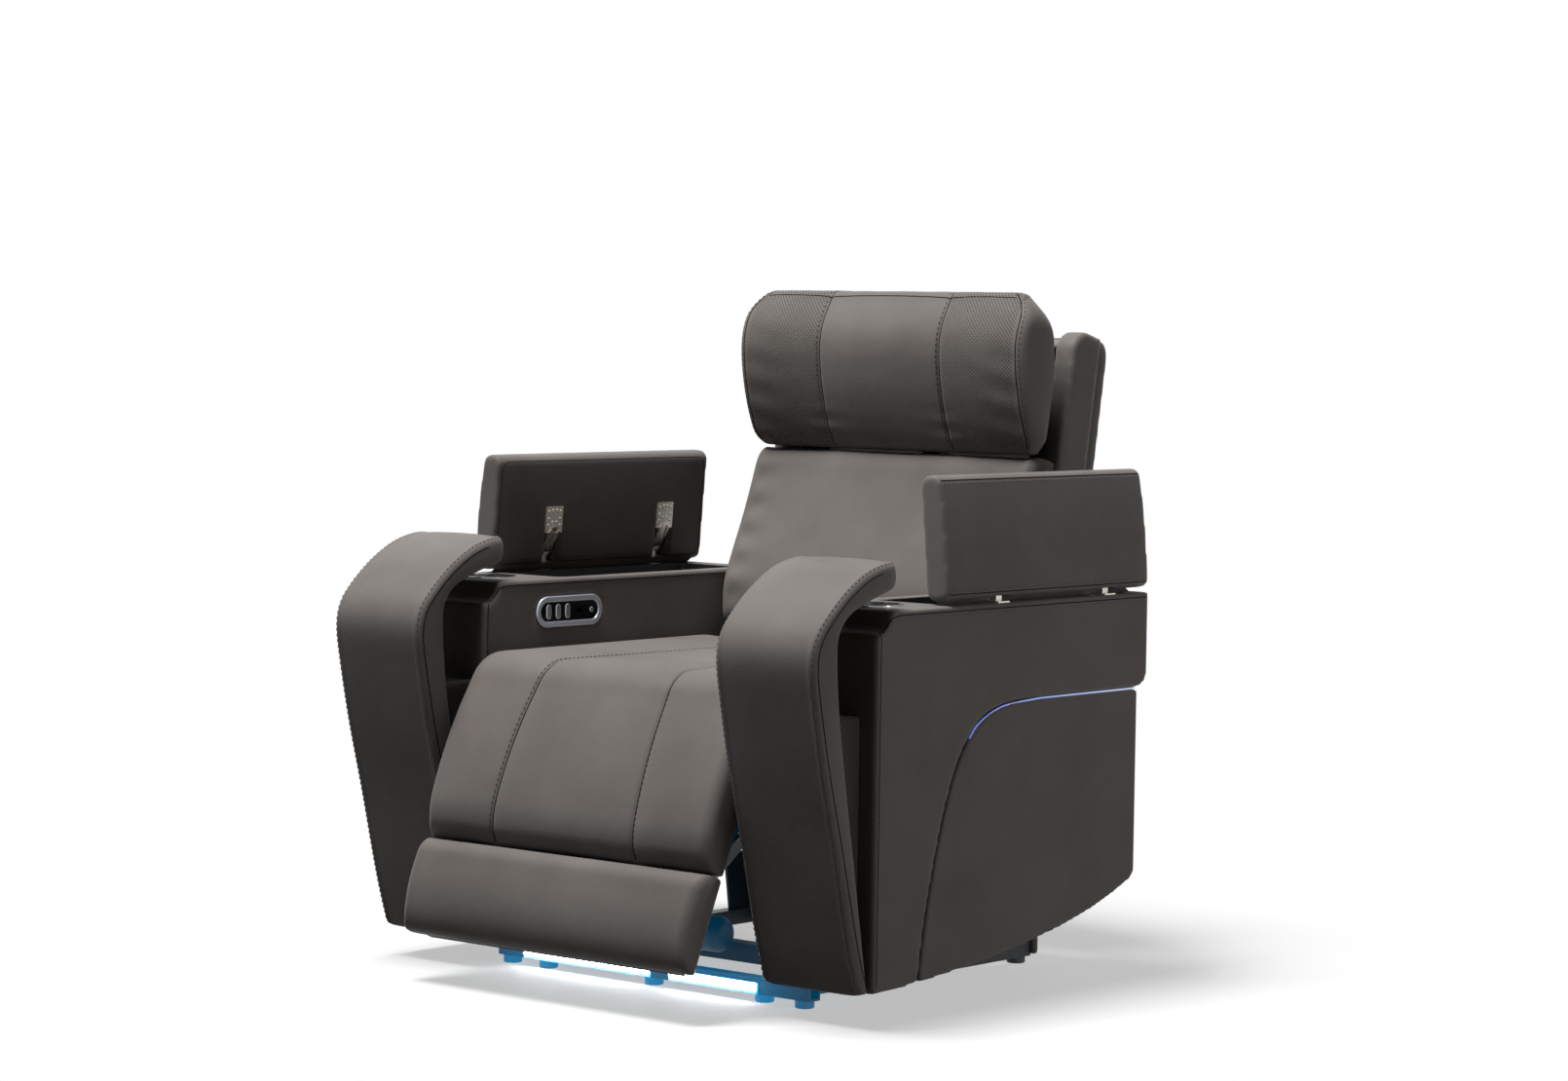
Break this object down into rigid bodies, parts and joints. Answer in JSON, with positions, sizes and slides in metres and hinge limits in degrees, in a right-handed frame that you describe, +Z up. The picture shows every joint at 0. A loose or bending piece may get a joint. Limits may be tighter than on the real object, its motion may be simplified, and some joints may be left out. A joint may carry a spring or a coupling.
{
  "type": "cinema recliner seat",
  "caption": "Home cinema power recliner with hooked arms, lidded arm storage, cup wells, tilting headrest, swinging leg rest and a lit base.",
  "frame": {"origin": "middle of the footprint on the floor, under the seat", "axes": "+Z up, front of the seat faces -Y, +X is the sitter's left"},
  "size_m": [1, 1.0431, 1.0909],
  "materials": {
    "black_plastic": "gloss black moulding",
    "button_plastic": "pale gloss moulding",
    "cup_steel": "polished stainless steel",
    "drive_plastic": "black moulded housing",
    "foot_plastic": "black glide",
    "led_white": "lit strip, white to pale blue",
    "nickel_hinge": "nickel plated",
    "perforated_leather": "leather with a perforated field on the side panels",
    "plywood": "birch plywood",
    "silver_plastic": "silver painted moulding",
    "spring_steel": "bare spring wire",
    "steel_black": "black powder coat",
    "tray_plastic": "black moulded liner",
    "upholstery_leather": "satin top-grain leather, taupe brown",
    "zinc_steel": "zinc plated"
  },
  "bodies": {
    "base": {"frame_cross_rails": "steel_black", "base_side_rails": "steel_black", "glide_feet": "foot_plastic", "led_strips": "led_white", "seat_side_plates": "steel_black", "frame_brackets": "steel_black", "frame_bolts": "zinc_steel", "pivot_pins": "zinc_steel", "drive_channels": "zinc_steel", "drive_screws": "zinc_steel", "leg_drive_motor": "drive_plastic", "back_drive_motor": "drive_plastic", "seat_frame": "steel_black", "seat_springs": "spring_steel", "seat_cushion": "upholstery_leather", "rear_lower_panel": "upholstery_leather", "power_inlet": "black_plastic", "arm_cover_left": "upholstery_leather", "arm_cover_right": "upholstery_leather", "arm_frames": "plywood", "arm_hooks": "upholstery_leather", "arm_infills": "upholstery_leather", "arm_side_panels": "upholstery_leather", "cup_holders": "cup_steel", "storage_trays": "tray_plastic", "hinge_bases": "nickel_hinge", "panel_bezel": "silver_plastic", "panel_housing": "black_plastic", "usb_port": "black_plastic"},
    "leg_rest": {"leg_rest_upper_pad": "upholstery_leather", "leg_rest_lower_pad": "upholstery_leather", "leg_rest_board": "plywood", "leg_rest_brackets": "steel_black"},
    "rods": {"drive_rods": "steel_black", "rod_pins": "zinc_steel"},
    "drive_tube": {"torque_tube": "steel_black"},
    "leg_slider": {"leg_drive_slider": "drive_plastic"},
    "back": {"back_plates": "steel_black", "back_hinge_tube": "steel_black", "back_frame": "steel_black", "back_springs": "spring_steel", "back_cushion": "upholstery_leather", "back_shell": "upholstery_leather", "back_wings": "upholstery_leather", "headrest_hinges": "steel_black", "headrest_drive_channel": "zinc_steel", "headrest_drive_motor": "drive_plastic"},
    "back_slider": {"back_drive_slider": "drive_plastic"},
    "headrest": {"headrest_pad": "perforated_leather", "headrest_board": "plywood", "headrest_lever": "steel_black"},
    "headrest_slider": {"headrest_drive_slider": "drive_plastic"},
    "lid_left": {"lid_left": "upholstery_leather", "lid_leaves_left": "nickel_hinge"},
    "lid_right": {"lid_right": "upholstery_leather", "lid_leaves_right": "nickel_hinge"},
    "rocker_recline": {"rocker_1": "button_plastic"},
    "rocker_leg_rest": {"rocker_2": "button_plastic"},
    "rocker_headrest": {"rocker_3": "button_plastic"},
    "power_button": {"power_button": "button_plastic"}
  },
  "joints": [
    {"name": "leg_rest_swing", "type": "hinge", "parent": "base", "child": "leg_rest", "pos_m": [0, -0.302, 0.44], "axis": [-1, 0, 0], "range_deg": [-23.5, 66.5]},
    {"name": "rod_swing", "type": "hinge", "parent": "leg_rest", "child": "rods", "pos_m": [0, -0.32323, 0.35254], "axis": [-1, 0, 0], "range_deg": [-67, 24]},
    {"name": "drive_tube_turn", "type": "hinge", "parent": "base", "child": "drive_tube", "pos_m": [0, 0.002, 0.226], "axis": [-1, 0, 0], "range_deg": [-24, 67]},
    {"name": "leg_slider_travel", "type": "slide", "parent": "base", "child": "leg_slider", "axis": [0, -0.8192, -0.5736], "range_m": [-0.02309, 0.06496]},
    {"name": "back_recline", "type": "hinge", "parent": "base", "child": "back", "pos_m": [0, 0.343, 0.33], "axis": [-1, 0, 0], "range_deg": [0, 38]},
    {"name": "back_slider_travel", "type": "slide", "parent": "base", "child": "back_slider", "axis": [0, -0.9659, 0.2588], "range_m": [0, 0.03613]},
    {"name": "headrest_tilt", "type": "hinge", "parent": "back", "child": "headrest", "pos_m": [0, 0.37758, 0.84572], "axis": [1, 0, 0], "range_deg": [-12, 20]},
    {"name": "headrest_slider_travel", "type": "slide", "parent": "back", "child": "headrest_slider", "axis": [0, 0.165, 0.9863], "range_m": [-0.0095, 0.0157]},
    {"name": "lid_left_swing", "type": "hinge", "parent": "base", "child": "lid_left", "pos_m": [0.48, 0.1125, 0.642], "axis": [0, -1, 0], "range_deg": [0, 85]},
    {"name": "lid_right_swing", "type": "hinge", "parent": "base", "child": "lid_right", "pos_m": [-0.48, 0.1125, 0.642], "axis": [0, 1, 0], "range_deg": [0, 85]},
    {"name": "rocker_recline_rock", "type": "hinge", "parent": "base", "child": "rocker_recline", "pos_m": [-0.314, -0.167, 0.5625], "axis": [0, 1, 0], "range_deg": [-5, 5], "stiffness_Nm_per_rad": 0.4},
    {"name": "rocker_leg_rest_rock", "type": "hinge", "parent": "base", "child": "rocker_leg_rest", "pos_m": [-0.314, -0.145, 0.5625], "axis": [0, 1, 0], "range_deg": [-5, 5], "stiffness_Nm_per_rad": 0.4},
    {"name": "rocker_headrest_rock", "type": "hinge", "parent": "base", "child": "rocker_headrest", "pos_m": [-0.314, -0.123, 0.5625], "axis": [0, 1, 0], "range_deg": [-5, 5], "stiffness_Nm_per_rad": 0.4},
    {"name": "power_button_press", "type": "slide", "parent": "base", "child": "power_button", "axis": [-1, 0, 0], "range_m": [0, 0.0015], "stiffness_N_per_m": 300}
  ],
  "couplings": [
    {"joint": "rod_swing", "follows": "leg_rest_swing", "ratio": -1},
    {"joint": "drive_tube_turn", "follows": "leg_rest_swing", "ratio": 1},
    {"joint": "leg_slider_travel", "follows": "leg_rest_swing", "m_per_rad": 0.0558},
    {"joint": "back_slider_travel", "follows": "back_recline", "m_per_rad": 0.054175},
    {"joint": "headrest_slider_travel", "follows": "headrest_tilt", "m_per_rad": 0.044415}
  ]
}
